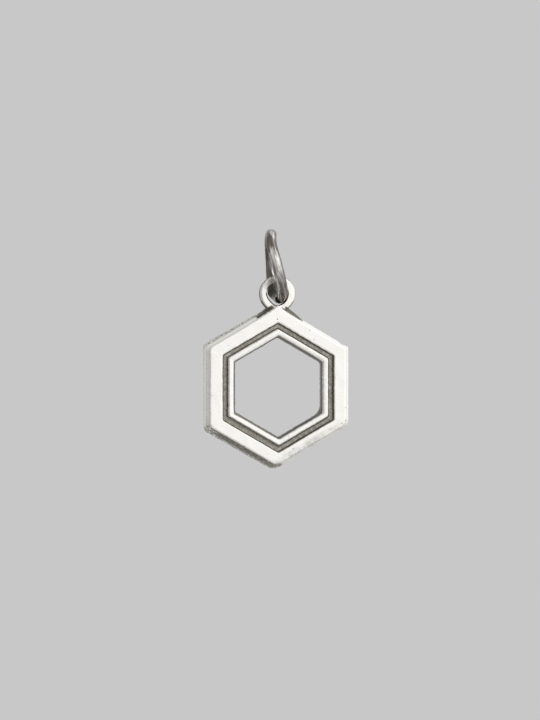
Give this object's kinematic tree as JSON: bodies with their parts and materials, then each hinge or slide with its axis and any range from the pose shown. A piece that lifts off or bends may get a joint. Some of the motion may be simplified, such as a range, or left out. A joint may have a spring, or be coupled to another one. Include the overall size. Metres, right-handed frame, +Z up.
{
  "type": "hexagon charm",
  "caption": "Open hexagonal cast charm with a sunk groove, a raised inner rim and a round eye, hanging from a plain jump ring.",
  "frame": {"origin": "inside top of the jump ring, where a chain or a hook bears and the charm hangs from it", "axes": "+Z up, against the pull of the hanging charm; the charm's face looks along -Y; +X is to the right seen from the front"},
  "size_m": [0.012, 0.0062, 0.02],
  "materials": {
    "cast_silver": "worn polished cast silver, darkened in the groove and beside the eye",
    "ring_wire": "drawn silver wire, tarnished to a warm grey"
  },
  "bodies": {
    "ring": {"jump_ring": "ring_wire"},
    "charm": {"hexagon_charm": "cast_silver"}
  },
  "joints": [
    {"name": "charm_swing", "type": "hinge", "parent": "ring", "child": "charm", "pos_m": [0.00068, 0, -0.0048], "axis": [0.0691, 0.9976, 0.0097], "range_deg": [-80, 110]}
  ]
}
